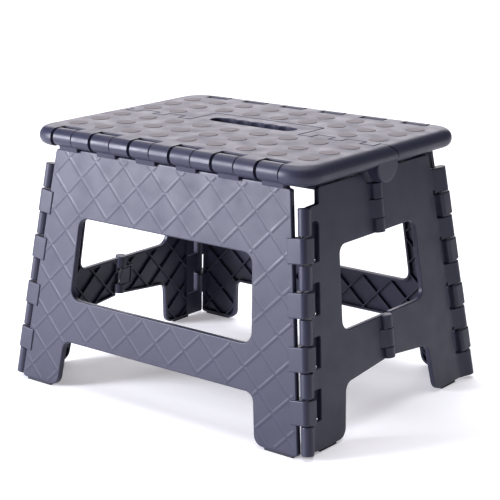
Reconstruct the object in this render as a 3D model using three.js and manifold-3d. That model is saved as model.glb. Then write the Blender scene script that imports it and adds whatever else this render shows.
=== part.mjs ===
// Folding step stool: a two-piece ribbed top, two splayed leg panels and two
// end panels that are each split in half, all joined by hinge rods.
// Millimetres, +Z up, origin on the floor under the middle of the top.
// The long side runs along X; the front leg panel faces -Y.

import * as THREE from 'three';
import * as BufferGeometryUtils from 'three/addons/utils/BufferGeometryUtils.js';
import Module from 'manifold-3d';

const wasm = await Module();
wasm.setup();

// ---- driving dimensions -------------------------------------------------
const TOP_HEIGHT = 220;         // floor to the standing surface
const TOP_LENGTH = 287;         // along X
const TOP_WIDTH = 218.6;        // along Y
const TOP_CORNER_R = 22;
const RIM_DEPTH = 15.5;         // height of the rim around the top
const RIM_WALL = 5;
const SKIN = 4;                 // thickness of the standing surface
const GAP = 0.4;                // running gap between moving pieces

const HINGE_Z = 205.5;          // centre hinge of the top
const KNUCKLE_R = 5;
const EAR_R = 14.2;             // round ears at both ends of the centre hinge
const SEAM_BACK = -3.5;         // where the front half stops between fingers
const FINGER_REACH = 6;         // how far the front fingers reach past the hinge
const FRONT_FINGERS = [[71, 87], [100, 117], [131, 143.5]];
const BACK_FINGERS = [[57.4, 71], [87, 100], [117, 131]];
const CENTRE_ROD_R = 2;

const TONGUE_HALF = 57;         // carrying handle, part of the front half
const TONGUE_REACH = 33;
const TONGUE_DEPTH = 8;
const GRIP_HALF = 44;           // finger opening in the handle
const GRIP_Y = [3, 20];

const TOP_HINGE_Y = 100.8;      // hinges between the top and the leg panels
const TOP_HINGE_Z = 211.5;
const TOP_BARREL_R = 8.5;
const TOP_ROD_R = 1.75;
const HOOK_PITCH = 42.5;
const HOOK_WIDTH = 23;
const HOOK_COUNT = 6;

const LEG_LEAN = 0.121;         // outward run per unit of height
const LEG_FOOT_Y = 123.3;       // outer face of a leg panel at the floor
const LEG_THICK = 5.1;
const LEG_TOP_Z = 201.4;
const LEG_FOOT_HALF = 148;      // half width at the floor
const LEG_TAPER = 0.128;        // how fast the half width shrinks with height

const END_LEAN = 0.12;
const END_FOOT_X = 153;         // outer face of an end panel at the floor
const END_THICK = 4.6;
const END_TOP_Z = 199.5;

const CORNER_X = 150.25;        // corner hinge axis at the floor
const CORNER_Y = 116;
const CORNER_BARREL_R = 3.2;     // round the rod
const CORNER_BULGE_R = 4.9;      // outer round of the same barrels
const CORNER_BULGE = [3.6, -1.6]; // its centre, outwards and forwards of the rod
const CORNER_ROD_R = 1.25;
const CORNER_STEPS = [186.9, 165.3, 144.9, 125.2, 104.9, 84.8, 64.9, 45.1, 25.2, 2];
const CORNER_DEPTH = 7.25;      // corner axis behind the outer face of a leg panel
const CORNER_HOOK_FRONT = 8.3;   // faces of a leg hook, measured from its axis
const CORNER_HOOK_BACK = 7.6;
const CORNER_HOOK_OUT = 8;
const EDGE_SKIN = 3;            // thin edge of a leg panel beside the barrels
const WEB_STEP = 0.15;          // webs sit this far inside the faces of a panel
const PLATE_START = 18;         // corner axis to the flat of an end panel

const MID_OFFSET = 0.5;         // end centre hinge, outside the outer face
const MID_BARREL_R = 5.3;
const MID_ROD_R = 1.1;
const MID_UPPER = [190.2, 177.4, 162.3, 150.4];
const MID_LOWER = [84.1, 72.9, 57.9, 48.5];
const MID_CLEAR_UPPER = 0.7;    // notch clearance past the barrel
const MID_CLEAR_LOWER = 3.9;

const PAD_Z = 1.7;              // anti-slip pads under every foot
const FOOT_Z = 2;
const BORE_PLAY = 0.35;
const BARREL_SIDES = 12;
const BORE_SIDES = 6;

// ---- solids and frames --------------------------------------------------
const V = (x, y, z) => new THREE.Vector3(x, y, z);

function toSolid(geometry) {
  const plain = geometry.clone();
  plain.deleteAttribute('normal');
  plain.deleteAttribute('uv');
  const merged = BufferGeometryUtils.mergeVertices(plain, 1e-4);
  return new wasm.Manifold(new wasm.Mesh({
    numProp: 3,
    vertProperties: new Float32Array(merged.attributes.position.array),
    triVerts: new Uint32Array(merged.index.array),
  }));
}

function toGeometry(solid) {
  const mesh = solid.getMesh();
  const geometry = new THREE.BufferGeometry();
  geometry.setAttribute('position', new THREE.BufferAttribute(mesh.vertProperties, 3));
  geometry.setIndex(new THREE.BufferAttribute(mesh.triVerts, 1));
  geometry.computeVertexNormals();
  return geometry;
}

const joinAll = (solids) => solids.reduce((a, b) => a.add(b));
const cutAll = (solid, cutters) => cutters.reduce((a, b) => a.subtract(b), solid);

// A frame holds an origin and two in-plane axes; its third axis is the way out.
function frame(origin, across, up) {
  const out = across.clone().cross(up).normalize();
  return new THREE.Matrix4()
    .makeBasis(across.clone().normalize(), out.clone().cross(across).normalize(), out)
    .setPosition(origin);
}

function slab(points, from, to, place) {
  const shape = new THREE.Shape(points.map(([x, y]) => new THREE.Vector2(x, y)));
  const geometry = new THREE.ExtrudeGeometry(shape, { depth: to - from, bevelEnabled: false });
  geometry.translate(0, 0, from);
  return toSolid(geometry.applyMatrix4(place));
}

function rod(radius, from, to, place, sides = BARREL_SIDES) {
  const geometry = new THREE.CylinderGeometry(radius, radius, to - from, sides);
  geometry.rotateX(Math.PI / 2).translate(0, 0, (from + to) / 2);
  return toSolid(geometry.applyMatrix4(place));
}

function block(x0, x1, y0, y1, z0, z1, place = new THREE.Matrix4()) {
  const geometry = new THREE.BoxGeometry(x1 - x0, y1 - y0, z1 - z0);
  geometry.translate((x0 + x1) / 2, (y0 + y1) / 2, (z0 + z1) / 2);
  return toSolid(geometry.applyMatrix4(place));
}

// Rounds the corners of a closed outline; each corner is [x, y, radius].
function rounded(corners, steps = 3) {
  const points = [];
  corners.forEach(([x, y, radius], i) => {
    const previous = corners[(i + corners.length - 1) % corners.length];
    const next = corners[(i + 1) % corners.length];
    if (!radius) {
      points.push([x, y]);
      return;
    }
    const corner = new THREE.Vector2(x, y);
    const back = new THREE.Vector2(previous[0], previous[1]).sub(corner).normalize();
    const ahead = new THREE.Vector2(next[0], next[1]).sub(corner).normalize();
    const half = Math.acos(THREE.MathUtils.clamp(back.dot(ahead), -1, 1)) / 2;
    const reach = radius / Math.tan(half);
    const centre = back.clone().add(ahead).normalize().multiplyScalar(radius / Math.sin(half));
    const start = back.clone().multiplyScalar(reach).sub(centre);
    const end = ahead.clone().multiplyScalar(reach).sub(centre);
    const turn = Math.atan2(start.cross(end), start.dot(end));
    for (let k = 0; k <= steps; k += 1) {
      const arm = start.clone().rotateAround(new THREE.Vector2(), (turn * k) / steps);
      points.push([corner.x + centre.x + arm.x, corner.y + centre.y + arm.y]);
    }
  });
  return points;
}

const mirrored = (corners) => [
  ...corners,
  ...corners.slice().reverse().map(([x, y, radius]) => [-x, y, radius]),
];

// Frames of the hinges and panels at the front and at the right end.
const FLAT = frame(V(0, 0, 0), V(1, 0, 0), V(0, 1, 0));
const LEG = frame(V(0, -LEG_FOOT_Y, 0), V(1, 0, 0), V(0, LEG_LEAN, 1));
const END = frame(V(END_FOOT_X, 0, 0), V(0, 1, 0), V(-END_LEAN, 0, 1));
const alongX = (y, z) => frame(V(0, y, z), V(0, 1, 0), V(0, 0, 1));

const CORNER_RUN = V(-END_LEAN, LEG_LEAN, 1);
const CORNER_SCALE = CORNER_RUN.length();
const END_OUT = V(1, 0, END_LEAN).normalize();
const MID_SCALE = Math.hypot(1, END_LEAN);
const LEG_SCALE = Math.hypot(1, LEG_LEAN);

function hingeFrame(origin, outward, run) {
  const axis = run.clone().normalize();
  const across = outward.clone().addScaledVector(axis, -outward.dot(axis)).normalize();
  return frame(origin, across, axis.clone().cross(across));
}
const cornerOrigin = V(CORNER_X, -CORNER_Y, 0);
const CORNER_LEG = hingeFrame(cornerOrigin, V(1, 0, 0), CORNER_RUN);
const CORNER_END = hingeFrame(cornerOrigin, END_OUT, CORNER_RUN);
const MID = hingeFrame(V(END_FOOT_X + MID_OFFSET * MID_SCALE, 0, 0), END_OUT, V(-END_LEAN, 0, 1));
const CORNER_TO_FACE = (END_FOOT_X - CORNER_X) / MID_SCALE;

// ---- top ----------------------------------------------------------------
const RIM_BOTTOM = TOP_HEIGHT - RIM_DEPTH;
const HALF_LENGTH = TOP_LENGTH / 2;
const HALF_WIDTH = TOP_WIDTH / 2;
const HINGE_STRIP = HALF_WIDTH - TOP_HINGE_Y + 9;
const HOOK_SPAN = (HOOK_PITCH * (HOOK_COUNT - 1) + HOOK_WIDTH) / 2 + GAP;
const sides = (bands) => bands.flatMap(([a, b]) => [[a, b], [-b, -a]]);
const isEar = ([a, b]) => Math.max(Math.abs(a), Math.abs(b)) > HALF_LENGTH - 1;

// The tray of one half: skin and rim, with its outer edge towards -Y.
function tray(seamY) {
  const outline = (inset) => rounded([
    [-HALF_LENGTH + inset, -HALF_WIDTH + inset, TOP_CORNER_R - inset],
    [HALF_LENGTH - inset, -HALF_WIDTH + inset, TOP_CORNER_R - inset],
    [HALF_LENGTH - inset, seamY - inset, 0],
    [-HALF_LENGTH + inset, seamY - inset, 0],
  ], 6);
  return slab(outline(0), RIM_BOTTOM, TOP_HEIGHT, FLAT)
    .subtract(slab(outline(RIM_WALL), RIM_BOTTOM - 1, TOP_HEIGHT - SKIN, FLAT));
}

// Replaces the outer edge by the hinge barrels that sit between the leg hooks.
function withTopBarrels(half) {
  const hinge = alongX(-TOP_HINGE_Y, TOP_HINGE_Z);
  const edge = -HALF_WIDTH + HINGE_STRIP;
  const open = block(-HOOK_SPAN, HOOK_SPAN, -HALF_WIDTH - 1, edge, RIM_BOTTOM - 1, TOP_HEIGHT + 1);
  const wall = block(-HOOK_SPAN - 2, HOOK_SPAN + 2, edge, edge + RIM_WALL,
    RIM_BOTTOM, TOP_HEIGHT - SKIN / 2);
  const barrelHalf = (HOOK_PITCH - HOOK_WIDTH) / 2 - GAP;
  const barrels = [];
  for (let i = 0; i < HOOK_COUNT - 1; i += 1) {
    const x = (i - (HOOK_COUNT - 2) / 2) * HOOK_PITCH;
    barrels.push(rod(TOP_BARREL_R, x - barrelHalf, x + barrelHalf, hinge));
    barrels.push(block(x - barrelHalf, x + barrelHalf, -TOP_HINGE_Y, edge + 1,
      TOP_HINGE_Z - 5, TOP_HEIGHT));
  }
  const bore = rod(TOP_ROD_R + BORE_PLAY, -HOOK_SPAN - 4, HOOK_SPAN + 4, hinge, BORE_SIDES);
  return joinAll([half.subtract(open), wall, ...barrels]).subtract(bore);
}

// Knuckles of the centre hinge under the fingers of one half.
function knuckles(bands, y0, y1) {
  const hinge = alongX(0, HINGE_Z);
  return sides(bands).flatMap((band) => {
    const [a, b] = [band[0] + GAP / 2, band[1] - GAP / 2];
    const radius = isEar(band) ? EAR_R : KNUCKLE_R;
    return [
      rod(radius, a, b, hinge, isEar(band) ? 24 : BARREL_SIDES),
      block(a, b, y0, y1, HINGE_Z, TOP_HEIGHT),
    ];
  });
}

const centreBore = () => rod(CENTRE_ROD_R + BORE_PLAY, -HALF_LENGTH - 1, HALF_LENGTH + 1,
  alongX(0, HINGE_Z), BORE_SIDES);

// Keeps the rim above the hinge axis near the seam, where the folded halves meet.
const foldRoom = () => block(-131, 131, -20, 1, RIM_BOTTOM - 1, HINGE_Z + GAP);

function topFront() {
  const tongue = block(-TONGUE_HALF, TONGUE_HALF, SEAM_BACK - 2, TONGUE_REACH,
    TOP_HEIGHT - TONGUE_DEPTH, TOP_HEIGHT);
  const grip = slab(rounded([
    [-GRIP_HALF, GRIP_Y[0], 7], [GRIP_HALF, GRIP_Y[0], 7],
    [GRIP_HALF, GRIP_Y[1], 7], [-GRIP_HALF, GRIP_Y[1], 7],
  ]), RIM_BOTTOM, TOP_HEIGHT + 1, FLAT);
  const reach = FINGER_REACH;
  const fingers = knuckles(FRONT_FINGERS, SEAM_BACK - 2, reach);
  const room = sides(BACK_FINGERS).map(([a, b]) => rod(KNUCKLE_R + GAP, a, b, alongX(0, HINGE_Z)));
  const body = cutAll(withTopBarrels(tray(SEAM_BACK)), [...room, foldRoom()]);
  return cutAll(joinAll([body, tongue, ...fingers]), [centreBore(), grip])
    .intersect(block(-HALF_LENGTH, HALF_LENGTH, -HALF_WIDTH, TONGUE_REACH, 0, TOP_HEIGHT));
}

// Built like the front half, outer edge towards -Y, then turned to the back.
function topBack() {
  const reach = FINGER_REACH + GAP;
  const own = -SEAM_BACK - GAP;
  const body = withTopBarrels(tray(-reach)).subtract(foldRoom());
  const fill = sides(BACK_FINGERS).map(([a, b]) => block(a + GAP / 2, b - GAP / 2,
    -reach - RIM_WALL, own, HINGE_Z + 2, TOP_HEIGHT));
  const earRoom = sides([[131 - GAP / 4, HALF_LENGTH + 1]]).map(([a, b]) => rod(EAR_R + GAP, a, b,
    alongX(0, HINGE_Z), 24));
  const tongueRoom = block(-TONGUE_HALF - GAP, TONGUE_HALF + GAP, -TONGUE_REACH - GAP, own + 1,
    RIM_BOTTOM - 1, TOP_HEIGHT + 1);
  const bar = block(-TONGUE_HALF - 6, TONGUE_HALF + 6, -TONGUE_REACH - GAP - RIM_WALL,
    -TONGUE_REACH - GAP, RIM_BOTTOM, TOP_HEIGHT);
  const cheeks = sides([[TONGUE_HALF + GAP, TONGUE_HALF + GAP + RIM_WALL]]).map(([a, b]) => (
    block(a, b, -TONGUE_REACH - GAP - 1, -reach, HINGE_Z + GAP, TOP_HEIGHT)));
  return cutAll(joinAll([body, ...fill, bar, ...cheeks, ...knuckles(BACK_FINGERS, -reach - 1, own)]),
    [tongueRoom, ...earRoom, centreBore()]);
}

// ---- leg panels ---------------------------------------------------------
const legZ = (z) => z * LEG_SCALE;

function legPanel() {
  const topHalf = LEG_FOOT_HALF - LEG_TAPER * LEG_TOP_Z;
  const outline = rounded(mirrored([
    [112, 0, 0], [LEG_FOOT_HALF, 0, 3], [topHalf, legZ(LEG_TOP_Z), 8],
  ]).slice(0, 5).concat([[-112, 0, 0], [-107.6, legZ(9), 6], [-103.5, legZ(41.5), 8],
    [103.5, legZ(41.5), 8], [107.6, legZ(9), 6]]));
  const window = rounded([
    [-96.2, legZ(78.3), 9], [96.2, legZ(78.3), 9], [90.4, legZ(147.5), 9], [-90.4, legZ(147.5), 9],
  ]);
  const plate = slab(outline, -LEG_THICK, 0, LEG).subtract(slab(window, -LEG_THICK - 1, 1, LEG));
  const room = block(-CORNER_BARREL_R - GAP, 9, -CORNER_DEPTH + EDGE_SKIN, 9, -9, cornerZ(210), CORNER_LEG);
  return cutAll(plate, [room, room.mirror([1, 0, 0])]);
}

// The hooks that grip the rod of the top hinge.
function topHooks() {
  const hinge = alongX(-TOP_HINGE_Y, TOP_HINGE_Z);
  const side = alongX(0, 0);
  const face = -(LEG_FOOT_Y - LEG_LEAN * LEG_TOP_Z);
  const neck = [
    [face - 2.6, 200.8], [face + LEG_THICK - 0.8, 200.8],
    [face + LEG_THICK + 1, 207], [face - 3, 207],
  ];
  const hooks = [];
  for (let i = 0; i < HOOK_COUNT; i += 1) {
    const x = (i - (HOOK_COUNT - 1) / 2) * HOOK_PITCH;
    hooks.push(slab(neck, x - HOOK_WIDTH / 2, x + HOOK_WIDTH / 2, side));
    hooks.push(rod(TOP_BARREL_R - 0.2, x - HOOK_WIDTH / 2, x + HOOK_WIDTH / 2, hinge));
  }
  return hooks;
}

const cornerZ = (z) => z * CORNER_SCALE;

// The rounded hooks at one vertical edge of a leg panel.
function cornerHooks() {
  const outline = rounded([
    [-8.5, -CORNER_HOOK_FRONT, 0], [CORNER_HOOK_OUT, -CORNER_HOOK_FRONT, 4.2],
    [CORNER_HOOK_OUT, CORNER_HOOK_BACK, 1.2], [-8.5, CORNER_HOOK_BACK, 3],
  ], 2);
  const hooks = [];
  for (let i = 1; i < CORNER_STEPS.length - 1; i += 2) {
    hooks.push(slab(outline, cornerZ(CORNER_STEPS[i + 1] + GAP / 2),
      cornerZ(CORNER_STEPS[i] - GAP / 2), CORNER_LEG));
  }
  return hooks;
}

function legFront() {
  const bore = rod(CORNER_ROD_R + BORE_PLAY, -9, cornerZ(192), CORNER_LEG, BORE_SIDES);
  const topBore = rod(TOP_ROD_R + BORE_PLAY, -HALF_LENGTH, HALF_LENGTH,
    alongX(-TOP_HINGE_Y, TOP_HINGE_Z), BORE_SIDES);
  const right = cornerHooks();
  const left = right.map((hook) => hook.mirror([1, 0, 0]));
  const ground = block(-200, 200, -200, 200, -50, FOOT_Z);
  return cutAll(joinAll([legPanel(), ...topHooks(), ...right, ...left]),
    [bore, bore.mirror([1, 0, 0]), topBore, ground]);
}

// ---- end panels ---------------------------------------------------------
const endZ = (z) => z * MID_SCALE;

// The flat of the front half of the right end panel; the window and the arch
// run on into the other half.
function endPlate() {
  const startY = (z) => -(CORNER_Y - LEG_LEAN * z) + PLATE_START;
  const outline = rounded([
    [startY(0), 0, 0], [-61, 0, 0], [-59, endZ(6), 8], [-54, endZ(44), 8], [-GAP, endZ(48.5), 0],
    [-GAP, endZ(84.1), 0], [-58, endZ(84.1), 8], [-53, endZ(150.4), 8], [-GAP, endZ(150.4), 0],
    [-GAP, endZ(END_TOP_Z), 0], [startY(END_TOP_Z), endZ(END_TOP_Z), 3],
  ]);
  return slab(outline, -END_THICK, 0, END);
}

// Barrels and webs that reach from the flat to the corner rod.
function cornerBarrels() {
  const face = CORNER_TO_FACE;
  const parts = [];
  for (let i = 0; i < CORNER_STEPS.length - 1; i += 2) {
    const low = cornerZ(CORNER_STEPS[i + 1] + GAP / 2);
    const high = cornerZ(CORNER_STEPS[i] - GAP / 2);
    parts.push(rod(CORNER_BARREL_R, low, high, CORNER_END, BARREL_SIDES));
    parts.push(rod(CORNER_BULGE_R, low, high, CORNER_END.clone().multiply(
      new THREE.Matrix4().makeTranslation(...CORNER_BULGE, 0))));
    parts.push(block(face - END_THICK + WEB_STEP, face - WEB_STEP, 0, PLATE_START + 2,
      low, high, CORNER_END));
  }
  return parts;
}

// Centre hinge pieces of one half. Even steps belong to the outer pair of
// barrels, odd steps to the single barrel in the middle.
function midParts(steps, clear, first, side) {
  const barrels = [];
  const notches = [];
  const deep = MID_BARREL_R + clear;
  const [notch0, notch1] = side < 0 ? [-deep, 1] : [-1, deep];
  for (let i = 0; i < steps.length - 1; i += 1) {
    const high = endZ(steps[i]);
    const low = endZ(steps[i + 1]);
    if (i % 2 === first) {
      barrels.push(rod(MID_BARREL_R, low + GAP / 2, high - GAP / 2, MID));
    } else {
      notches.push(block(-END_THICK - 2, 2, notch0, notch1, low - GAP / 2, high + GAP / 2, MID));
    }
  }
  return { barrels, notches };
}

function endHalf(first, side) {
  const upper = midParts(MID_UPPER, MID_CLEAR_UPPER, first, side);
  const lower = midParts(MID_LOWER, MID_CLEAR_LOWER, first, side);
  let plate = joinAll([endPlate(), ...cornerBarrels()]);
  const bore = rod(CORNER_ROD_R + BORE_PLAY, -9, cornerZ(192), CORNER_END, BORE_SIDES);
  const ground = block(0, 200, -200, 0, -50, FOOT_Z);
  plate = cutAll(plate, [bore, ground]);
  if (side > 0) plate = plate.mirror([0, 1, 0]);
  return joinAll([cutAll(plate, [...upper.notches, ...lower.notches]),
    ...upper.barrels, ...lower.barrels]);
}

// The half with the outer barrels holds the rod in close bores.
function endOuterHalf() {
  const bore = rod(MID_ROD_R + BORE_PLAY, endZ(40), endZ(195), MID, BORE_SIDES);
  return endHalf(0, -1).subtract(bore);
}

// The middle barrels are hooks, open towards the inside of the stool.
function endInnerHalf() {
  const hookR = 4.1;
  const floor = 0.3;
  const channels = [MID_UPPER, MID_LOWER].flatMap((steps) => {
    const high = endZ(steps[1] + 1);
    const low = endZ(steps[2] - 1);
    return [
      rod(hookR, low, high, MID),
      block(-12, -floor, -MID_BARREL_R - 1, MID_BARREL_R - 0.2, low, high, MID),
    ];
  });
  return cutAll(endHalf(1, 1), channels);
}

// ---- feet ---------------------------------------------------------------
function legPad() {
  const y = -LEG_FOOT_Y + 0.5;
  return block(114, 146, y, y + LEG_THICK - 0.4, 0, PAD_Z);
}

function endPad() {
  const x = END_FOOT_X - 0.3;
  return block(x - END_THICK + 0.3, x - 0.1, -100, -63, 0, PAD_Z);
}

// ---- the assembly -------------------------------------------------------
const plastic = (color, roughness) => new THREE.MeshStandardMaterial({ color, roughness, metalness: 0 });
const materials = {
  panel: () => plastic(0x6f7487, 0.42),
  pad: () => plastic(0x8d8384, 0.8),
  rod: () => new THREE.MeshStandardMaterial({ color: 0x9a9ca0, roughness: 0.3, metalness: 1 }),
};

const stool = new THREE.Group();

function place(parent, name, solid, material) {
  const mesh = new THREE.Mesh(toGeometry(solid), materials[material]());
  mesh.name = name;
  parent.add(mesh);
}

// Everything below the top is made once and repeated half a turn round.
function turned() {
  const group = new THREE.Group();
  group.rotation.z = Math.PI;
  stool.add(group);
  return group;
}

const opposite = turned();
place(stool, 'top_front', topFront(), 'panel');
place(opposite, 'top_back', topBack(), 'panel');

const rodIn = [TONGUE_HALF + 2, HALF_LENGTH - 1.5];
place(stool, 'centre_rod_right', rod(CENTRE_ROD_R, rodIn[0], rodIn[1], alongX(0, HINGE_Z), 8), 'rod');
place(opposite, 'centre_rod_left', rod(CENTRE_ROD_R, rodIn[0], rodIn[1], alongX(0, HINGE_Z), 8), 'rod');

const legSolid = legFront();
const outerSolid = endOuterHalf();
const innerSolid = endInnerHalf();
const cornerRod = rod(CORNER_ROD_R, cornerZ(FOOT_Z + 2), cornerZ(186), CORNER_LEG, 8);
const midRods = {
  upper: rod(MID_ROD_R, endZ(151.5), endZ(189), MID, 8),
  lower: rod(MID_ROD_R, endZ(49.5), endZ(83), MID, 8),
};
const topRod = rod(TOP_ROD_R, -HOOK_SPAN - 3, HOOK_SPAN + 3, alongX(-TOP_HINGE_Y, TOP_HINGE_Z), 8);

[
  { group: stool, near: 'front', far: 'back', right: 'right', left: 'left' },
  { group: opposite, near: 'back', far: 'front', right: 'left', left: 'right' },
].forEach(({ group, near, far, right, left }) => {
  place(group, `leg_${near}`, legSolid, 'panel');
  place(group, `top_rod_${near}`, topRod, 'rod');
  place(group, `end_${right}_${near}`, outerSolid, 'panel');
  place(group, `end_${right}_${far}`, innerSolid, 'panel');
  place(group, `corner_rod_${near}_${right}`, cornerRod, 'rod');
  place(group, `corner_rod_${near}_${left}`, cornerRod.mirror([1, 0, 0]), 'rod');
  place(group, `end_rod_${right}_upper`, midRods.upper, 'rod');
  place(group, `end_rod_${right}_lower`, midRods.lower, 'rod');
  place(group, `foot_pad_${near}_${right}`, legPad(), 'pad');
  place(group, `foot_pad_${near}_${left}`, legPad().mirror([1, 0, 0]), 'pad');
  place(group, `end_pad_${right}_${near}`, endPad(), 'pad');
  place(group, `end_pad_${right}_${far}`, endPad().mirror([0, 1, 0]), 'pad');
});

export default stool;
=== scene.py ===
"""Looks of the folding step stool: detailed mouldings, rods, pads and dots.

Lengths in the tables are millimetres; MM turns them into Blender's metres.
The origin is on the floor under the middle of the top, +X along the long side,
the front leg panel faces -Y. Pieces are made for the front and the right end
and repeated half a turn round for the back and the left end.
"""

import math

import bpy
from mathutils import Matrix, Vector
from mathutils.geometry import tessellate_polygon


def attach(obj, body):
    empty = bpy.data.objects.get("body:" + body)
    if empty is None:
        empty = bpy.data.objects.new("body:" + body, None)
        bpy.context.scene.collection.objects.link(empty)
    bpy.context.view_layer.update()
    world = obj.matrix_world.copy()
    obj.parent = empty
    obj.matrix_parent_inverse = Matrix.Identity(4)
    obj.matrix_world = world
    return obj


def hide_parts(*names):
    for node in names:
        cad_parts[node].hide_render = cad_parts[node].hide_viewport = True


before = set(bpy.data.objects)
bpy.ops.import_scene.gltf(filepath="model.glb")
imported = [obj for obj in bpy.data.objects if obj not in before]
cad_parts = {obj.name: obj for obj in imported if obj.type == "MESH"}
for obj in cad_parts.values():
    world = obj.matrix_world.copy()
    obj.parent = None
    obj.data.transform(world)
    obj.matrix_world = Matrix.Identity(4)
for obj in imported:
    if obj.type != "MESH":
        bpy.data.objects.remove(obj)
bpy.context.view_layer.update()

MM = 0.001

# ---- sizes shared with the CAD model ------------------------------------
TOP_LENGTH, TOP_WIDTH, TOP_HEIGHT = 287.0, 218.6, 220.0
RIM_DEPTH = 15.5
SURFACE_Z = TOP_HEIGHT - 0.3        # moulded surface; the dots stand proud of it
HINGE_Z = 205.5
SEAM_BACK = -3.5
FINGER_REACH = 6.0
SEAM_STEPS = (131.0, 117.0, 100.0, 87.0, 71.0)   # sides of the seam's fingers, outside in
TONGUE_HALF, TONGUE_REACH = 57.0, 33.0
GRIP_HALF, GRIP_NEAR, GRIP_FAR = 44.0, 3.0, 20.0
TOP_HINGE_Y, TOP_HINGE_Z = 100.8, 211.5
HOOK_PITCH, HOOK_WIDTH, HOOK_COUNT = 42.5, 23.0, 6
LEG_LEAN, LEG_FOOT_Y, LEG_THICK = 0.121, 123.3, 5.1
LEG_TOP_Z, LEG_FOOT_HALF, LEG_TAPER = 203.0, 148.0, 0.128
END_LEAN, END_FOOT_X, END_THICK, END_TOP_Z = 0.12, 153.0, 4.6, 199.5
CORNER_X, CORNER_Y = 150.25, 116.0
CORNER_STEPS = (186.9, 165.3, 144.9, 125.2, 104.9, 84.8, 64.9, 45.1, 25.2, 2.0)
MID_OFFSET, MID_R = 0.5, 5.3
MID_UPPER = (190.2, 177.4, 162.3, 150.4)
MID_LOWER = (84.1, 72.9, 57.9, 48.5)
MID_CLEAR_UPPER, MID_CLEAR_LOWER = 0.7, 3.9
PLATE_STARTS = (18.0, 11.2)         # corner axis to the flat of either half
FOOT_Z, PAD_Z = 2.0, 1.7
GAP = 0.4
BARREL_GAP = 0.5                    # end play of the corner barrels and hooks
SEAM_GAP = 0.8                      # visible seam between the halves of the top
EAR_R = 14.2
BARREL_Y, BARREL_Z, BARREL_R = -101.65, 212.3, 7.4   # visible round of the top hinge

RIB_PITCH = 30.4                    # diamond lattice, measured along X
DOT_R, DOT_PITCH = 8.0, 30.0
DOT_ROWS = (20.0, 47.0, 74.0)
DOT_COLUMNS = range(-4, 5)
TONGUE_CLEAR = 85.0                 # the inner row of the back half starts beyond this
SKIN, RIM_WALL = 3.0, 9.0           # thickness of the top, and of its rim

# ---- outlines of the panels ---------------------------------------------
TOP_CORNER_R = 22.0
FOOT_INNER_X, LEG_ARCH_X, LEG_ARCH_Z = 106.0, 101.0, 41.5
LEG_SHOULDER_Z = 201.0
LEG_WINDOW = ((96.2, 78.3), (90.4, 147.5))       # half length and height, below and above
END_FOOT_Y, END_ARCH_Y, END_ARCH_Z = -66.0, -59.5, 43.0
END_WINDOW = ((-58.0, 84.1), (-53.0, 150.4))
END_BROW_Z = 190.6
RIB_HALF = 0.7
RIDGE_HALF, RIDGE_HEIGHT = 2.2, 0.15
SLOT_BACK = (9.5, 9.5)              # skin behind a hook slot: start, and rise over the hook

# ---- rods and pads ------------------------------------------------------
CENTRE_ROD_R, TOP_ROD_R, CORNER_ROD_R, END_ROD_R = 2.0, 1.75, 1.25, 1.1
CORNER_ROD_TOP = 186.0
END_RODS = (("upper", 151.5, 189.0), ("lower", 49.5, 83.0))
LEG_PAD_X, END_PAD_Y = (115, 143), (-99, -77)

# ---- finish -------------------------------------------------------------
SLATE_DARK, SLATE_LIGHT = (0.024, 0.025, 0.046), (0.029, 0.030, 0.054)
GRAIN_DEPTH = 0.0002                # metres

# ---- view, in metres ----------------------------------------------------
FLOOR_HALF = 3.0
CAMERA_AT = (0.7882, -0.9917, 0.4552)
CAMERA_TILT, CAMERA_TURN = 74.88, 38.28
CAMERA_LENS, CAMERA_SENSOR = 111.24, 36
WORLD_COLOR, WORLD_STRENGTH = (0.98, 0.97, 1.0, 1), 0.12
# name, location, target, size, power, colour
LIGHTS = (
    ("key", (-1.5, -1.9, 0.66), (0, 0, 0.1), 1.0, 118, (0.88, 0.89, 1.0)),
    ("overhead", (-0.2, 0.3, 2.4), (0, 0, 0), 2.8, 68, (0.93, 0.93, 1.0)),
    ("backdrop_glow", (-1.7, 2.4, 0.9), (0, 0, 0.15), 2.6, 40, (1.0, 0.95, 1.0)),
)


# ---- outlines -----------------------------------------------------------
def rounded(corners, steps=6):
    """Closed outline from [x, y, radius] corners, with arcs in the corners."""
    points = []
    for i, (x, y, radius) in enumerate(corners):
        corner = Vector((x, y))
        if radius <= 0:
            points.append(corner)
            continue
        back = (Vector(corners[i - 1][:2]) - corner).normalized()
        ahead = (Vector(corners[(i + 1) % len(corners)][:2]) - corner).normalized()
        half = math.acos(max(-1, min(1, back.dot(ahead)))) / 2
        centre = corner + (back + ahead).normalized() * (radius / math.sin(half))
        start = corner + back * (radius / math.tan(half)) - centre
        end = corner + ahead * (radius / math.tan(half)) - centre
        turn = math.atan2(start.x * end.y - start.y * end.x, start.dot(end))
        for k in range(steps + 1):
            points.append(centre + Matrix.Rotation(turn * k / steps, 2) @ start)
    return points


def inset(corners, amount):
    """Corners moved inwards by amount; a counter-clockwise loop shrinks."""
    moved = []
    for i, (x, y, radius) in enumerate(corners):
        here = Vector((x, y))
        a = (here - Vector(corners[i - 1][:2])).normalized()
        b = (Vector(corners[(i + 1) % len(corners)][:2]) - here).normalized()
        na, nb = Vector((-a.y, a.x)), Vector((-b.y, b.x))
        shift = (na + nb) * (amount / (1 + na.dot(nb)))
        convex = a.x * b.y - a.y * b.x > 0
        keep = radius and max(0.6, radius - amount if convex else radius + amount)
        moved.append((x + shift.x, y + shift.y, keep))
    return moved


def circle(radius, centre=(0, 0), sides=28, start=0.0, sweep=360.0):
    closed = abs(sweep) == 360
    count = sides if closed else sides + 1
    return [Vector((centre[0] + radius * math.cos(math.radians(start + sweep * k / sides)),
                    centre[1] + radius * math.sin(math.radians(start + sweep * k / sides))))
            for k in range(count)]


def mirror_corners(half):
    return list(half) + [(-x, y, r) for x, y, r in reversed(half)]


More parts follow.
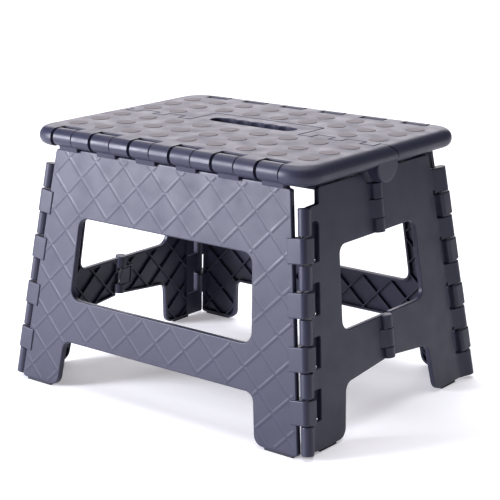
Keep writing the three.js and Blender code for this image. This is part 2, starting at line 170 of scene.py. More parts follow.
def clipped(point, direction, loops):
    """Stretches of an endless line that lie inside a region of closed loops."""
    cuts = []
    normal = Vector((-direction.y, direction.x))
    for loop in loops:
        for i, a in enumerate(loop):
            b = loop[(i + 1) % len(loop)]
            side_a, side_b = normal.dot(a - point), normal.dot(b - point)
            if (side_a > 0) != (side_b > 0):
                hit = a.lerp(b, side_a / (side_a - side_b))
                cuts.append(direction.dot(hit - point))
    cuts.sort()
    return [(point + direction * t0, point + direction * t1)
            for t0, t1 in zip(cuts[::2], cuts[1::2]) if t1 - t0 > 1.5]


def lattice(loops, pitch=RIB_PITCH, shift=0.0):
    """Both families of 45 degree lines over a region."""
    found = []
    for slope in (1, -1):
        direction = Vector((1, slope)).normalized()
        for k in range(-16, 17):
            found += clipped(Vector((shift + k * pitch, 0)), direction, loops)
    return found


# ---- solids -------------------------------------------------------------
class Shape:
    """Closed shells in millimetres, gathered into one piece."""

    def __init__(self):
        self.verts = []
        self.faces = []

    def add(self, verts, faces, place=None):
        place = place or Matrix.Identity(4)
        flip = place.determinant() < 0
        base = len(self.verts)
        self.verts += [place @ Vector(v) for v in verts]
        for face in faces:
            face = [base + i for i in face]
            self.faces.append(face[::-1] if flip else face)

    def join(self, other, place=None):
        self.add(other.verts, other.faces, place)
        return self

    def ring(self, points, heights):
        base = len(self.verts)
        self.verts.extend(Vector((p[0], p[1], z)) for p, z in zip(points, heights))
        return list(range(base, base + len(points)))

    def wall(self, upper, lower):
        """Band of faces between two rings of the same length."""
        count = len(upper)
        for i in range(count):
            j = (i + 1) % count
            self.faces.append([upper[i], lower[i], lower[j], upper[j]])

    def cap(self, rings, up):
        """Level face inside the first ring and outside the others."""
        loops = [[Vector((self.verts[i].x, self.verts[i].y, 0)) for i in ids] for ids in rings]
        flat = [i for ids in rings for i in ids]
        for tri in tessellate_polygon(loops):
            a, b, c = (flat[k] for k in tri)
            pa, pb, pc = self.verts[a], self.verts[b], self.verts[c]
            area = (pb.x - pa.x) * (pc.y - pa.y) - (pb.y - pa.y) * (pc.x - pa.x)
            if abs(area) > 1e-9:
                self.faces.append([a, b, c] if (area > 0) == up else [a, c, b])


def edge_radii(points, edge_of):
    """Slide direction and edge radii of every corner of a loop."""
    count = len(points)
    normals, radii = [], []
    for i in range(count):
        a, b = points[i], points[(i + 1) % count]
        run = (b - a).normalized()
        normals.append(Vector((run.y, -run.x)))
        radii.append(edge_of(a, b))
    result = []
    for i in range(count):
        n0, n1, r0, r1 = normals[i - 1], normals[i], radii[i - 1], radii[i]
        if abs(r0[0] - r1[0]) < 1e-6 and abs(r0[1] - r1[1]) < 1e-6:
            slide = (n0 + n1) / max(0.25, 1 + n0.dot(n1))
            result.append((slide, r0))
            continue
        big, small, radius = (n0, n1, r0) if sum(r0) > sum(r1) else (n1, n0, r1)
        along = Vector((-small.y, small.x))
        reach = along.dot(big)
        slide = along / reach if abs(reach) > 0.3 else big
        result.append((slide, radius))
    return result


def eased_sides(shape, points, high, edge_of, steps, floor_of, levels):
    """Side wall of a loop between its rounded upper and lower edges."""
    data = edge_radii(points, edge_of)

    def curve(which, bend):
        return [p - slide * r[which] * (1 - math.sin(bend)) for p, (slide, r) in zip(points, data)]

    bends = [math.pi / 2 * k / steps for k in range(steps + 1)]
    rings = []
    for bend in bends:
        rings.append(shape.ring(curve(0, bend),
                                [high - r[0] * (1 - math.cos(bend)) for _, r in data]))
    for k in range(1, levels + 1):
        share = k / (levels + 1)
        rings.append(shape.ring(points, [
            (high - r[0]) * (1 - share) + (floor_of(p.x, p.y) + r[1]) * share
            for p, (_, r) in zip(points, data)]))
    for bend in reversed(bends):
        rings.append(shape.ring(curve(1, bend), [
            floor_of(p.x, p.y) + r[1] * (1 - math.cos(bend))
            for p, (_, r) in zip(points, data)]))
    for upper, lower in zip(rings, rings[1:]):
        shape.wall(upper, lower)
    return rings[0], rings[-1]


def sink_recess(shape, loop, high, depth):
    """Shallow recess in the upper face; returns its rim."""
    points = list(reversed(loop))
    rim = shape.ring(points, [high] * len(points))
    base = shape.ring(points, [high - depth] * len(points))
    shape.wall(rim, base)
    shape.cap([base], True)
    return rim


def hollow_out(shape, pocket, ceiling, floor_of, outer_low, hole_lows):
    """Pocket in the lower face, with an island round every through hole."""
    def walled(loop):
        low = shape.ring(loop, [floor_of(p.x, p.y) for p in loop])
        high = shape.ring(loop, [ceiling] * len(loop))
        shape.wall(high, low)
        return high, low

    edge_pocket, *islands = pocket
    inner_high, inner_low = walled(list(reversed(edge_pocket)))
    shape.cap([outer_low, inner_low], False)
    ceiling_rings = [inner_high]
    for island, hole_low in zip(islands, hole_lows):
        island_high, island_low = walled(island)
        shape.cap([island_low, hole_low], False)
        ceiling_rings.append(island_high)
    shape.cap(ceiling_rings, False)


def moulding(outline, low, high, holes=(), pocket=(), ceiling=None, recesses=(), recess=0.6,
             edge_of=None, edge=0.6, steps=3, floor_of=None, levels=0):
    """A plate with rounded edges, through holes, a pocket below and
    shallow recesses on top. Loops run counter-clockwise, holes too."""
    shape = Shape()
    edge_of = edge_of or (lambda a, b: (edge, edge))
    floor_of = floor_of or (lambda x, y: low)
    loops = [outline] + [list(reversed(hole)) for hole in holes]
    sides = [eased_sides(shape, loop, high, edge_of, steps, floor_of, levels) for loop in loops]
    tops = [top for top, _ in sides]
    bottoms = [bottom for _, bottom in sides]
    rims = [sink_recess(shape, loop, high, recess) for loop in recesses]
    shape.cap(tops + rims, True)
    if pocket:
        hollow_out(shape, pocket, ceiling, floor_of, bottoms[0], bottoms[1:])
    else:
        shape.cap(bottoms, False)
    return shape


def bar(a, b, half, low, high, shape, place, overlap=0.4):
    """A straight rib between two points, with eased lower edges."""
    run = (b - a).normalized()
    across = Vector((-run.y, run.x))
    a, b = a - run * overlap, b + run * overlap
    ease = min(0.35, half * 0.4)
    section = ((-half, high), (-half, low + ease), (-half + ease, low),
               (half - ease, low), (half, low + ease), (half, high))
    verts = [(*(end + across * s), z) for end in (a, b) for s, z in section]
    count = len(section)
    faces = [[i, (i + 1) % count, count + (i + 1) % count, count + i] for i in range(count)]
    faces += [list(range(count))[::-1], list(range(count, 2 * count))]
    shape.add(verts, faces, place)


def ridge(a, b, half, height, shape, place):
    """A low soft line moulded on an outer face."""
    run = (b - a).normalized()
    across = Vector((-run.y, run.x))
    section = ((-half, -0.1), (-half * 0.6, height * 0.5), (-half * 0.2, height),
               (half * 0.2, height), (half * 0.6, height * 0.5), (half, -0.1))
    verts = [(*(end + across * s), z) for end in (a, b) for s, z in section]
    count = len(section)
    faces = [[i, count + i, count + (i + 1) % count, (i + 1) % count] for i in range(count)]
    faces += [list(range(count)), list(range(count, 2 * count))[::-1]]
    shape.add(verts, faces, place)


# ---- frames -------------------------------------------------------------
def frame_of(origin, across, up):
    """Placement whose first two axes lie in a panel; the third points out."""
    across = Vector(across).normalized()
    out = across.cross(Vector(up)).normalized()
    up = out.cross(across)
    rows = Matrix((across, up, out)).transposed().to_4x4()
    return Matrix.Translation(Vector(origin)) @ rows


def hinge_frame(origin, outward, run):
    axis = Vector(run).normalized()
    outward = Vector(outward)
    across = (outward - axis * outward.dot(axis)).normalized()
    return frame_of(origin, across, axis.cross(across))


LEG = frame_of((0, -LEG_FOOT_Y, 0), (1, 0, 0), (0, LEG_LEAN, 1))
END = frame_of((END_FOOT_X, 0, 0), (0, 1, 0), (-END_LEAN, 0, 1))
CORNER_RUN = Vector((-END_LEAN, LEG_LEAN, 1))
END_OUT = Vector((1, 0, END_LEAN)).normalized()
LEG_SCALE = math.hypot(1, LEG_LEAN)
END_SCALE = math.hypot(1, END_LEAN)
CORNER_LEG = hinge_frame((CORNER_X, -CORNER_Y, 0), (1, 0, 0), CORNER_RUN)
CORNER_END = hinge_frame((CORNER_X, -CORNER_Y, 0), END_OUT, CORNER_RUN)
MID = hinge_frame((END_FOOT_X + MID_OFFSET * END_SCALE, 0, 0), END_OUT, (-END_LEAN, 0, 1))
CORNER_TO_FACE = (END_FOOT_X - CORNER_X) / END_SCALE
MIRROR_X = Matrix.Diagonal((-1, 1, 1, 1))
MIRROR_Y = Matrix.Diagonal((1, -1, 1, 1))
TURNED = Matrix.Rotation(math.pi, 4, "Z")


def along_x(y, z):
    return frame_of((0, y, z), (0, 1, 0), (0, 0, 1))


# ---- top ----------------------------------------------------------------
HALF_LENGTH, HALF_WIDTH = TOP_LENGTH / 2, TOP_WIDTH / 2
RIM_LOW = TOP_HEIGHT - RIM_DEPTH
HINGE_EDGE = -91.8
HOOK_SPAN = (HOOK_PITCH * (HOOK_COUNT - 1) + HOOK_WIDTH) / 2 + GAP
BARREL_HALF = (HOOK_PITCH - HOOK_WIDTH) / 2 - GAP


def top_edge(a, b):
    """Edge radii of the top: full round rims and barrels, crisp seams."""
    middle = (a + b) / 2
    level = abs(b.y - a.y) < 1e-3
    on_barrel = middle.y < -HALF_WIDTH + 0.5 and abs(middle.x) < HOOK_SPAN
    if on_barrel:
        return (BARREL_R, BARREL_R - 0.3)
    outer = abs(middle.x) > HALF_LENGTH - 24 and middle.y < -HALF_WIDTH + 24
    inner_step = abs(middle.x) < HOOK_SPAN + 0.1
    if (outer and not inner_step) or (abs(middle.x) > HALF_LENGTH - 0.5 and not level):
        return (7.6, 6.6)
    return (0.8, 0.5)


def front_edge_corners():
    """The outer edge of a half: rounded ends, hook gaps and barrels."""
    corners = [(-HALF_LENGTH, -HALF_WIDTH, TOP_CORNER_R), (-HOOK_SPAN, -HALF_WIDTH, 0),
               (-HOOK_SPAN, HINGE_EDGE, 0)]
    for i in range(HOOK_COUNT - 1):
        x = (i - (HOOK_COUNT - 2) / 2) * HOOK_PITCH
        corners += [(x - BARREL_HALF, HINGE_EDGE, 0), (x - BARREL_HALF, -HALF_WIDTH, 0),
                    (x + BARREL_HALF, -HALF_WIDTH, 0), (x + BARREL_HALF, HINGE_EDGE, 0)]
    corners += [(HOOK_SPAN, HINGE_EDGE, 0), (HOOK_SPAN, -HALF_WIDTH, 0),
                (HALF_LENGTH, -HALF_WIDTH, TOP_CORNER_R)]
    return corners


def top_floor(x, y):
    """Underside of the rim: higher on the barrels and beside the centre hinge."""
    if y < -92.2 and abs(x) < HOOK_SPAN - 0.3:
        return BARREL_Z - BARREL_R
    if y > -20.5 and abs(x) < 131.5:
        return HINGE_Z + GAP
    return RIM_LOW


def round_ear_side(shape, radius, reach):
    """Bends the ends of the rims to the arc of the round ears."""
    for v in shape.verts:
        if abs(v.x) > 130.3 and abs(v.y) < 9 and v.y * reach > 0:
            rise = max(-radius, min(radius, v.z - HINGE_Z))
            arc = math.sqrt(radius ** 2 - rise ** 2)
            v.y = math.copysign(max(abs(reach), arc), reach)
    return shape


def ear(side):
    lobe = circle(EAR_R, (0, HINGE_Z), 44, 152.8, 234.4)
    body = moulding(lobe, 131 + GAP / 2, 142.9, edge=1.3, steps=4)
    place = along_x(0, 0)
    return Shape().join(Shape().join(body, place), MIRROR_X if side < 0 else None)


def dots(rows, skip=0.0):
    return [(x * DOT_PITCH, row) for row in rows for x in DOT_COLUMNS
            if abs(row) > 30 or abs(x * DOT_PITCH) >= skip]


def grip_outline():
    """Finger opening: straight near side, scalloped far side."""
    slot = rounded([(-GRIP_HALF, GRIP_NEAR, 8), (GRIP_HALF, GRIP_NEAR, 8),
                    (GRIP_HALF, GRIP_FAR - 2, 6), (-GRIP_HALF, GRIP_FAR - 2, 6)])
    near = [p for p in slot if p.y <= GRIP_FAR - 2.5]
    scallops, depth = 5, 2.2
    span = GRIP_HALF - 7
    count = scallops * 8
    far = [Vector((span - 2 * span * k / count,
                   GRIP_FAR - depth + depth * abs(math.sin(math.pi * scallops * k / count))))
           for k in range(count + 1)]
    split = max(range(len(near)), key=lambda i: (near[i].x > 0, near[i].y))
    return near[:split + 1] + far + near[split + 1:]


def seam_corners(reach, base, gap=0.0):
    """Fingers beside the tongue, from the outside in."""
    corners = [(HALF_LENGTH, reach, 0)]
    here, there = reach, base
    for i, x in enumerate(SEAM_STEPS):
        side = x + gap if i % 2 else x - gap
        corners += [(side, here, 0), (side, there, 0)]
        here, there = there, here
    return corners


def rim_pocket():
    """Outer part of the hollow underside, along the rim and the hook gaps."""
    return [(-132, -HALF_WIDTH + RIM_WALL, 12), (-HOOK_SPAN - 5, -HALF_WIDTH + RIM_WALL, 0),
            (-HOOK_SPAN - 5, HINGE_EDGE + 4, 0), (HOOK_SPAN + 5, HINGE_EDGE + 4, 0),
            (HOOK_SPAN + 5, -HALF_WIDTH + RIM_WALL, 0), (132, -HALF_WIDTH + RIM_WALL, 12)]


def top_half(seam, inner_pocket, dot_skip=0.0, holes=()):
    """A half of the top from the seam side and the inner side of its pocket."""
    outline = rounded(front_edge_corners() + mirror_corners(seam))
    centres = dots([-y for y in DOT_ROWS], dot_skip)
    return moulding(outline, RIM_LOW, SURFACE_Z, edge_of=top_edge, steps=6, floor_of=top_floor,
                    holes=holes, pocket=[rounded(rim_pocket() + inner_pocket)],
                    ceiling=SURFACE_Z - SKIN, levels=7,
                    recesses=[circle(DOT_R, c) for c in centres])


def top_front():
    seam = seam_corners(FINGER_REACH, SEAM_BACK) + [
        (TONGUE_HALF, SEAM_BACK, 0), (TONGUE_HALF, TONGUE_REACH, 2.5)]
    shape = top_half(seam, [(132, -9, 2), (-132, -9, 2)], holes=[grip_outline()])
    round_ear_side(shape, EAR_R - 0.1, FINGER_REACH)
    for side in (1, -1):
        shape.join(ear(side))
    return shape


def top_back():
    reach = FINGER_REACH + SEAM_GAP
    base = -SEAM_BACK - SEAM_GAP
    mouth = TONGUE_HALF + SEAM_GAP
    seam = seam_corners(-reach, base, SEAM_GAP) + [
        (mouth, base, 0), (mouth, -TONGUE_REACH - SEAM_GAP, 2)]
    inner = [(132, -19.5, 2), (62, -19.5, 2), (62, -38, 2), (-62, -38, 2),
             (-62, -19.5, 2), (-132, -19.5, 2)]
    return round_ear_side(top_half(seam, inner, TONGUE_CLEAR), EAR_R + 0.9, -reach)


# ---- leg panels ---------------------------------------------------------
def leg_outline(low=FOOT_Z):
    top_half_length = LEG_FOOT_HALF - LEG_TAPER * LEG_TOP_Z
    half = [(FOOT_INNER_X, low, 9), (LEG_FOOT_HALF, low, 3),
            (top_half_length, LEG_SHOULDER_Z * LEG_SCALE, 2.5),
            (118.6, LEG_SHOULDER_Z * LEG_SCALE, 0.6), (117.4, LEG_TOP_Z * LEG_SCALE, 0.8)]
    height = LEG_ARCH_Z * LEG_SCALE
    arch = [(-LEG_ARCH_X, height, 8), (LEG_ARCH_X, height, 8)]
    return mirror_corners(half) + arch


def leg_window():
    (wide, low), (narrow, high) = LEG_WINDOW
    low, high = low * LEG_SCALE, high * LEG_SCALE
    return [(-wide, low, 9), (wide, low, 9), (narrow, high, 9), (-narrow, high, 9)]


def leg_edge(a, b):
    steep = abs(b.y - a.y) > abs(b.x - a.x) * 3
    outside = abs((a.x + b.x) / 2) > 121
    return (1.1, 1.2) if steep and outside and (a - b).length > 20 else (1.1, 0.6)


def leg_panel():
    outline, window = leg_outline(), leg_window()
    pocket_corners = inset(outline, 2.4)
    pocket_corners = [(math.copysign(abs(x) - 0.8, x), y, r) if abs(x) > 116 else (x, y, r)
                      for x, y, r in pocket_corners]
    pocket = rounded(pocket_corners)
    island = rounded(inset(window, -2.2))
    body = moulding(rounded(outline), -LEG_THICK, 0, edge_of=leg_edge, holes=[rounded(window)],
                    pocket=[pocket, island], ceiling=-2.0, steps=4)
    shape = Shape().join(body, LEG)
    for a, b in lattice([pocket, island]):
        bar(a, b, RIB_HALF, -LEG_THICK + 0.3, -1.7, shape, LEG)
    face = [rounded(inset(outline, 2.5)), rounded(inset(window, -2.5))]
    for a, b in lattice(face):
        ridge(a, b, RIDGE_HALF, RIDGE_HEIGHT, shape, LEG)
    for hook in top_hooks() + corner_hooks():
        shape.join(hook)
    return shape


def top_hooks():
    """Hooks round the rod of the top hinge, with a tab down the outer face."""
    face = -(LEG_FOOT_Y - LEG_LEAN * LEG_SHOULDER_Z)
    rear = circle(8.3, (-TOP_HINGE_Y, TOP_HINGE_Z), 14, -28, 118)
    front = circle(BARREL_R, (BARREL_Y, BARREL_Z + 0.1), 22, 90, 172)
    neck = [Vector((face - 2.9, 204.3)), Vector((face - 2.7, 201.6)), Vector((face - 2.1, 200.8)),
            Vector((face + LEG_THICK - 1, 200.8)), Vector((face + LEG_THICK + 0.8, 205.5))]
    hooks = []
    for i in range(HOOK_COUNT):
        x = (i - (HOOK_COUNT - 1) / 2) * HOOK_PITCH
        body = moulding(rear + front + neck, x - HOOK_WIDTH / 2 + 2.0, x + HOOK_WIDTH / 2 - 0.5,
                        edge=0.7)
        hooks.append(Shape().join(body, along_x(0, 0)))
    return hooks


def corner_hooks():
    """Rounded box hooks at both side edges of a leg panel."""
    profile = rounded([(-8.5, -8.2, 1), (7.9, -8.2, 4.2), (7.9, 6.6, 3.2), (-8.5, 6.6, 2)])
    scale = CORNER_RUN.length
    hooks = []
    for high, low in zip(CORNER_STEPS[1:-1:2], CORNER_STEPS[2::2]):
        body = moulding(profile, (low + BARREL_GAP) * scale, (high - BARREL_GAP) * scale,
                        edge=1.0, steps=4)
        right = Shape().join(body, CORNER_LEG)
        hooks += [right, Shape().join(right, MIRROR_X)]
    return hooks


# ---- end panels ---------------------------------------------------------
def mid_notches(steps, clear, first):
    """Corner points of the centre edge, with notches for the other half."""
    points = []
    deep = MID_R + clear
    for i in range(len(steps) - 2, -1, -1):
        low, high = steps[i + 1] * END_SCALE, steps[i] * END_SCALE
        if i % 2 == first:
            edge = -6.1 if first else -GAP
            points += [(edge, low, 0), (edge, high, 0)]
        else:
            points += [(-deep, low - GAP / 2, 0), (-deep, high + GAP / 2, 0)]
    return points


def corner_line(z, away):
    """Point of the end plate at a distance from the corner axis."""
    return (-(CORNER_Y - LEG_LEAN * z) + away, z * END_SCALE)


def teeth(start):
    """Webs that reach from the plate to the corner barrels, from the top down."""
    points = []
    for i, (high, low) in enumerate(zip(CORNER_STEPS[::2], CORNER_STEPS[1::2])):
        top, bottom = high - BARREL_GAP, low + BARREL_GAP
        arch = min(start - 8.7, 9.0 if i == 0 else 3.0)
        if i:
            points += [(*corner_line(top, start), 1)]
        points += [(*corner_line(top, 6), 0)]
        if low < 10:
            return points + [(*corner_line(FOOT_Z + 0.3, 6), 0)]
        points += [(*corner_line(bottom, 6), 0), (*corner_line(bottom, 8.2), 0),
                   (*corner_line(bottom + arch, 8.2), arch * 0.4),
                   (*corner_line(bottom + arch, start), arch * 0.4)]
    return points


def plate_outline(first):
    """The flat of an end half without its webs."""
    lower = mid_notches(MID_LOWER, MID_CLEAR_LOWER, first)
    upper = mid_notches(MID_UPPER, MID_CLEAR_UPPER, first)
    brow = END_BROW_Z * END_SCALE
    window = [(y, z * END_SCALE, 8) for y, z in END_WINDOW]
    return ([(END_FOOT_Y, FOOT_Z, 9), (END_ARCH_Y, END_ARCH_Z * END_SCALE, 9)] + lower +
            window + upper +
            [(-11, brow, 3), (-14.5, END_TOP_Z * END_SCALE, 1.5),
             (*corner_line(END_TOP_Z, PLATE_STARTS[first]), 3)])


def end_half(first):
    flat = plate_outline(first)
    start = PLATE_STARTS[first]
    outline = rounded(flat + [(*corner_line(CORNER_STEPS[0], start), 1)] + teeth(start))
    pocket = rounded(inset(flat + [(*corner_line(FOOT_Z, start), 0)], 2.0))
    body = moulding(outline, -END_THICK + 0.15, 0, edge=0.8, pocket=[pocket],
                    ceiling=-1.9, steps=3)
    shape = Shape().join(body, END)
    for a, b in lattice([pocket], shift=8):
        bar(a, b, RIB_HALF, -END_THICK + 0.3, -1.6, shape, END)
    for barrel in corner_barrels():
        shape.join(barrel)
    slot, rise = SLOT_BACK
    for high, low in zip(CORNER_STEPS[1:-1:2], CORNER_STEPS[2::2]):
        back = [(*corner_line(z, away), 0) for z, away in (
            (low + GAP, slot), (low + GAP, start + 1),
            (high + rise, start + 1), (high + rise, slot))]
        shape.join(moulding(rounded(back), -END_THICK + 0.2, -END_THICK + 1, edge=0.2), END)
    for steps in (MID_UPPER, MID_LOWER):
        for i in range(len(steps) - 1):
            if i % 2 == first:
                low, high = steps[i + 1] + GAP / 2, steps[i] - GAP / 2
                shape.join(mid_barrel(low * END_SCALE, high * END_SCALE, first == 1))
    return shape


def corner_barrels():
    """Barrels on the corner rod, bulging outwards, blended into the webs."""
    face = CORNER_TO_FACE
    inner = face - END_THICK + 0.3
    profile = [Vector((inner, 9)), Vector((inner, 6)), Vector((inner - 0.5, 4))]
    profile += circle(3.0, (0, 0), 8, 140, 77)
    profile += circle(4.9, (3.6, -1.6), 20, 217, 188)
    profile += [Vector(p) for p in ((6.1, 3.1), (5.1, 4.4), (4.2, 5.8), (3.4, 7.2), (face, 9))]
    scale = CORNER_RUN.length
    parts = []
    for high, low in zip(CORNER_STEPS[::2], CORNER_STEPS[1::2]):
        body = moulding(profile, (low + BARREL_GAP) * scale, (high - BARREL_GAP) * scale,
                        edge=0.8)
        parts.append(Shape().join(body, CORNER_END))
    return parts


def mid_barrel(low, high, hooked):
    """A barrel of the centre hinge; the middle one is open to the inside."""
    if not hooked:
        return Shape().join(moulding(circle(MID_R, (0, 0), 28), low, high, edge=0.6), MID)
    hook = circle(MID_R, (0, 0), 20, -90, 150) + [
        Vector((2.4, 5.4)), Vector((0.6, 7.6)), Vector((-0.6, 9.5)), Vector((-1.6, 9.5)),
        Vector((-1.6, 5.3)), Vector((0.2, 4.6))]
    hook += circle(4.1, (0, 0), 16, 84, -174)
    skin = rounded([(-5.0, -4.4, 0.2), (-4.4, -4.4, 0.2), (-4.4, 7.5, 0), (-5.0, 7.5, 0)], 2)
    shape = Shape()
    for profile, edge in ((hook, 0.4), (skin, 0.1)):
        shape.join(moulding(profile, low, high, edge=edge), MID)
    return shape


# ---- pieces -------------------------------------------------------------
def piece(name, shape, body, material, node=None, place=None):
    """Turns gathered shells into one Blender object on a CAD body."""
    if place is not None:
        shape = Shape().join(shape, place)
    mesh = bpy.data.meshes.new(name)
    mesh.from_pydata([v * MM for v in shape.verts], [], shape.faces)
    mesh.validate()
    mesh.shade_smooth()
    mesh.set_sharp_from_angle(angle=math.radians(46))
    mesh.materials.append(material)
    obj = bpy.data.objects.new(name, mesh)
    bpy.context.scene.collection.objects.link(obj)
    weighted = obj.modifiers.new("even_shading", "WEIGHTED_NORMAL")
    weighted.keep_sharp = True
    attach(obj, body)
    if node:
        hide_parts(node)
    return obj


# ---- materials ----------------------------------------------------------
def new_material(name, color, roughness):
    material = bpy.data.materials.new(name)
    material.use_nodes = True
    shader = material.node_tree.nodes["Principled BSDF"]
    shader.inputs["Base Color"].default_value = (*color, 1)
    shader.inputs["Roughness"].default_value = roughness
    return material, material.node_tree, shader


def noise(tree, coords, scale, detail=3.0):
    node = tree.nodes.new("ShaderNodeTexNoise")
    node.inputs["Scale"].default_value = scale
    node.inputs["Detail"].default_value = detail
    tree.links.new(coords.outputs["Object"], node.inputs["Vector"])
    return node


def ramp(tree, source, stops):
    node = tree.nodes.new("ShaderNodeValToRGB")
    node.color_ramp.elements[0].position, node.color_ramp.elements[0].color = stops[0]
    node.color_ramp.elements[1].position, node.color_ramp.elements[1].color = stops[1]
    tree.links.new(source, node.inputs["Fac"])
    return node


def grained(tree, shader, coords, scale, strength):
    """Fine bump of a moulded surface."""
    grain = noise(tree, coords, scale, 2.0)
    bump = tree.nodes.new("ShaderNodeBump")
    bump.inputs["Strength"].default_value = strength
    bump.inputs["Distance"].default_value = GRAIN_DEPTH
    tree.links.new(grain.outputs["Fac"], bump.inputs["Height"])
    tree.links.new(bump.outputs["Normal"], shader.inputs["Normal"])


def panel_plastic():
    """Slate blue-grey polypropylene with a fine moulded grain."""
    material, tree, shader = new_material("slate_plastic", SLATE_LIGHT, 0.42)
    shader.inputs["Specular IOR Level"].default_value = 0.32
    coords = tree.nodes.new("ShaderNodeTexCoord")
    cloud = noise(tree, coords, 14.0, 4.0)
    tone = ramp(tree, cloud.outputs["Fac"], ((0.3, (*SLATE_DARK, 1)), (0.7, (*SLATE_LIGHT, 1))))
    tree.links.new(tone.outputs["Color"], shader.inputs["Base Color"])
    patch = noise(tree, coords, 60.0, 5.0)
    gloss = ramp(tree, patch.outputs["Fac"], ((0.3, (0.34, 0.34, 0.34, 1)),
                                              (0.75, (0.50, 0.50, 0.50, 1))))
    tree.links.new(gloss.outputs["Color"], shader.inputs["Roughness"])
    grained(tree, shader, coords, 1600.0, 0.05)
    return material


def rubber(name, light, dark, roughness):
    material, tree, shader = new_material(name, light, roughness)
    coords = tree.nodes.new("ShaderNodeTexCoord")
    cloud = noise(tree, coords, 90.0, 4.0)
    tone = ramp(tree, cloud.outputs["Fac"], ((0.3, (*dark, 1)), (0.7, (*light, 1))))
    tree.links.new(tone.outputs["Color"], shader.inputs["Base Color"])
    grained(tree, shader, coords, 2200.0, 0.3)
    return material


def drawn_steel():
    material, tree, shader = new_material("drawn_steel", (0.55, 0.55, 0.56), 0.3)
    shader.inputs["Metallic"].default_value = 1.0
    coords = tree.nodes.new("ShaderNodeTexCoord")
    streak = noise(tree, coords, 400.0, 3.0)
    gloss = ramp(tree, streak.outputs["Fac"], ((0.3, (0.24, 0.24, 0.24, 1)),
                                               (0.7, (0.42, 0.42, 0.42, 1))))
    tree.links.new(gloss.outputs["Color"], shader.inputs["Roughness"])
    return material


PLASTIC = panel_plastic()
DOT_RUBBER = rubber("dot_rubber", (0.112, 0.094, 0.098), (0.094, 0.080, 0.084), 0.6)
PAD_RUBBER = rubber("pad_rubber", (0.020, 0.021, 0.028), (0.014, 0.015, 0.021), 0.75)
STEEL = drawn_steel()


# ---- assembly -----------------------------------------------------------
def dot_shape(rows, skip=0.0):
    shape = Shape()
    for x, y in dots(rows, skip):
        shape.join(moulding(circle(DOT_R - 0.2, (x, y)), SURFACE_Z - 0.55, TOP_HEIGHT - 0.02,
                            edge=0.25, steps=2))
    return shape


def rod_shape(radius, low, high, place):
    return Shape().join(moulding(circle(radius, sides=20), low, high, edge=0.3, steps=2), place)


def pad_shape(x0, x1, y0, y1):
    outline = rounded([(x0, y0, 1), (x1, y0, 1), (x1, y1, 1), (x0, y1, 1)], 3)
    return moulding(outline, 0, PAD_Z, edge=0.4, steps=2)


piece("top_front_moulding", top_front(), "top_front", PLASTIC, "top_front")
piece("top_back_moulding", top_back(), "top_back", PLASTIC, "top_back", place=TURNED)
front_rows = [-y for y in DOT_ROWS]
piece("grip_dots_front", dot_shape(front_rows), "top_front", DOT_RUBBER)
piece("grip_dots_back", dot_shape(front_rows, TONGUE_CLEAR), "top_back", DOT_RUBBER,
      place=TURNED)

rod_span = (TONGUE_HALF + 2, HALF_LENGTH - 1.5)
centre_rod = rod_shape(CENTRE_ROD_R, *rod_span, along_x(0, HINGE_Z))
piece("centre_rod_right_wire", centre_rod, "centre_hinge", STEEL, "centre_rod_right")
piece("centre_rod_left_wire", centre_rod, "centre_hinge", STEEL, "centre_rod_left",
      TURNED)

LEG_SHAPE = leg_panel()
OUTER_HALF = end_half(0)
INNER_HALF = Shape().join(end_half(1), MIRROR_Y)
TOP_ROD = rod_shape(TOP_ROD_R, -HOOK_SPAN - 3, HOOK_SPAN + 3,
                    along_x(-TOP_HINGE_Y, TOP_HINGE_Z))
corner_scale = CORNER_RUN.length
CORNER_ROD = rod_shape(CORNER_ROD_R, (FOOT_Z + 2) * corner_scale, CORNER_ROD_TOP * corner_scale,
                       CORNER_LEG)
CORNER_ROD_LEFT = Shape().join(CORNER_ROD, MIRROR_X)
LEG_PAD = pad_shape(*LEG_PAD_X, -LEG_FOOT_Y + 1.2, -LEG_FOOT_Y + LEG_THICK - 0.4)
END_PAD = pad_shape(END_FOOT_X - END_THICK + 0.2, END_FOOT_X - 1.1, *END_PAD_Y)

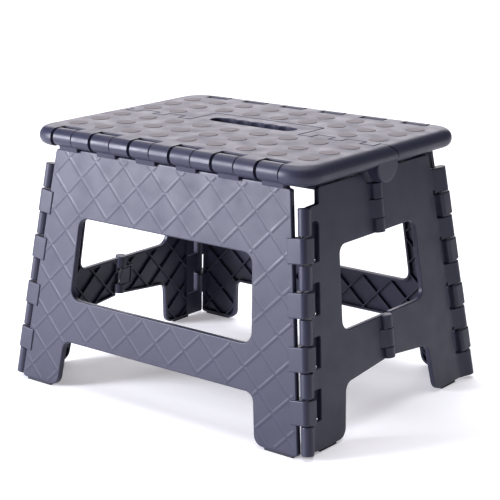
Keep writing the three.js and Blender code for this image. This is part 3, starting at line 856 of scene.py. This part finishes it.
SIDES = (("front", "back", "right", "left", None), ("back", "front", "left", "right", TURNED))
for near, far, right, left, place in SIDES:
    leg = f"leg_{near}"
    end_near, end_far = f"end_{right}_{near}", f"end_{right}_{far}"
    piece(f"{leg}_moulding", LEG_SHAPE, leg, PLASTIC, leg, place=place)
    piece(f"{end_near}_moulding", OUTER_HALF, end_near, PLASTIC, end_near, place=place)
    piece(f"{end_far}_moulding", INNER_HALF, end_far, PLASTIC, end_far, place=place)
    piece(f"top_rod_{near}_wire", TOP_ROD, f"top_{near}", STEEL, f"top_rod_{near}", place)
    piece(f"corner_rod_{near}_{right}_wire", CORNER_ROD, leg, STEEL,
          f"corner_rod_{near}_{right}", place)
    piece(f"corner_rod_{near}_{left}_wire", CORNER_ROD_LEFT, leg, STEEL,
          f"corner_rod_{near}_{left}", place)
    for level, low, high in END_RODS:
        wire = rod_shape(END_ROD_R, low * END_SCALE, high * END_SCALE, MID)
        piece(f"end_rod_{right}_{level}_wire", wire, end_near, STEEL,
              f"end_rod_{right}_{level}", place)
    piece(f"foot_pad_{near}_{right}_rubber", LEG_PAD, leg, PAD_RUBBER,
          f"foot_pad_{near}_{right}", place)
    piece(f"foot_pad_{near}_{left}_rubber", Shape().join(LEG_PAD, MIRROR_X), leg, PAD_RUBBER,
          f"foot_pad_{near}_{left}", place)
    piece(f"end_pad_{right}_{near}_rubber", END_PAD, end_near, PAD_RUBBER,
          f"end_pad_{right}_{near}", place)
    piece(f"end_pad_{right}_{far}_rubber", Shape().join(END_PAD, MIRROR_Y), end_far, PAD_RUBBER,
          f"end_pad_{right}_{far}", place)


# ---- stage --------------------------------------------------------------
def floor():
    mesh = bpy.data.meshes.new("floor")
    ends = (-FLOOR_HALF, FLOOR_HALF)
    (x0, x1), (y0, y1) = ends, ends
    mesh.from_pydata([(x0, y0, 0), (x1, y0, 0), (x1, y1, 0), (x0, y1, 0)], [], [(0, 1, 2, 3)])
    obj = bpy.data.objects.new("floor", mesh)
    bpy.context.scene.collection.objects.link(obj)
    material, _, shader = new_material("white_sweep", (0.9, 0.9, 0.9), 0.9)
    shader.inputs["Emission Color"].default_value = (1.0, 0.97, 1.0, 1)
    shader.inputs["Emission Strength"].default_value = 0.3
    mesh.materials.append(material)


def area_light(name, location, target, size, power, color):
    light = bpy.data.lights.new(name, "AREA")
    light.shape = "DISK"
    light.size = size
    light.energy = power
    light.color = color
    obj = bpy.data.objects.new(name, light)
    obj.location = location
    aim = Vector(target) - Vector(location)
    obj.rotation_euler = aim.to_track_quat("-Z", "Y").to_euler()
    bpy.context.scene.collection.objects.link(obj)


def camera():
    data = bpy.data.cameras.new("camera")
    data.lens = CAMERA_LENS
    data.sensor_width = CAMERA_SENSOR
    obj = bpy.data.objects.new("camera", data)
    obj.location = CAMERA_AT
    obj.rotation_euler = (math.radians(CAMERA_TILT), 0, math.radians(CAMERA_TURN))
    bpy.context.scene.collection.objects.link(obj)
    bpy.context.scene.camera = obj


floor()
for light in LIGHTS:
    area_light(*light)
bpy.context.scene.view_settings.view_transform = "Standard"
world = bpy.data.worlds.new("world")
world.use_nodes = True
world.node_tree.nodes["Background"].inputs["Color"].default_value = WORLD_COLOR
world.node_tree.nodes["Background"].inputs["Strength"].default_value = WORLD_STRENGTH
bpy.context.scene.world = world
camera()
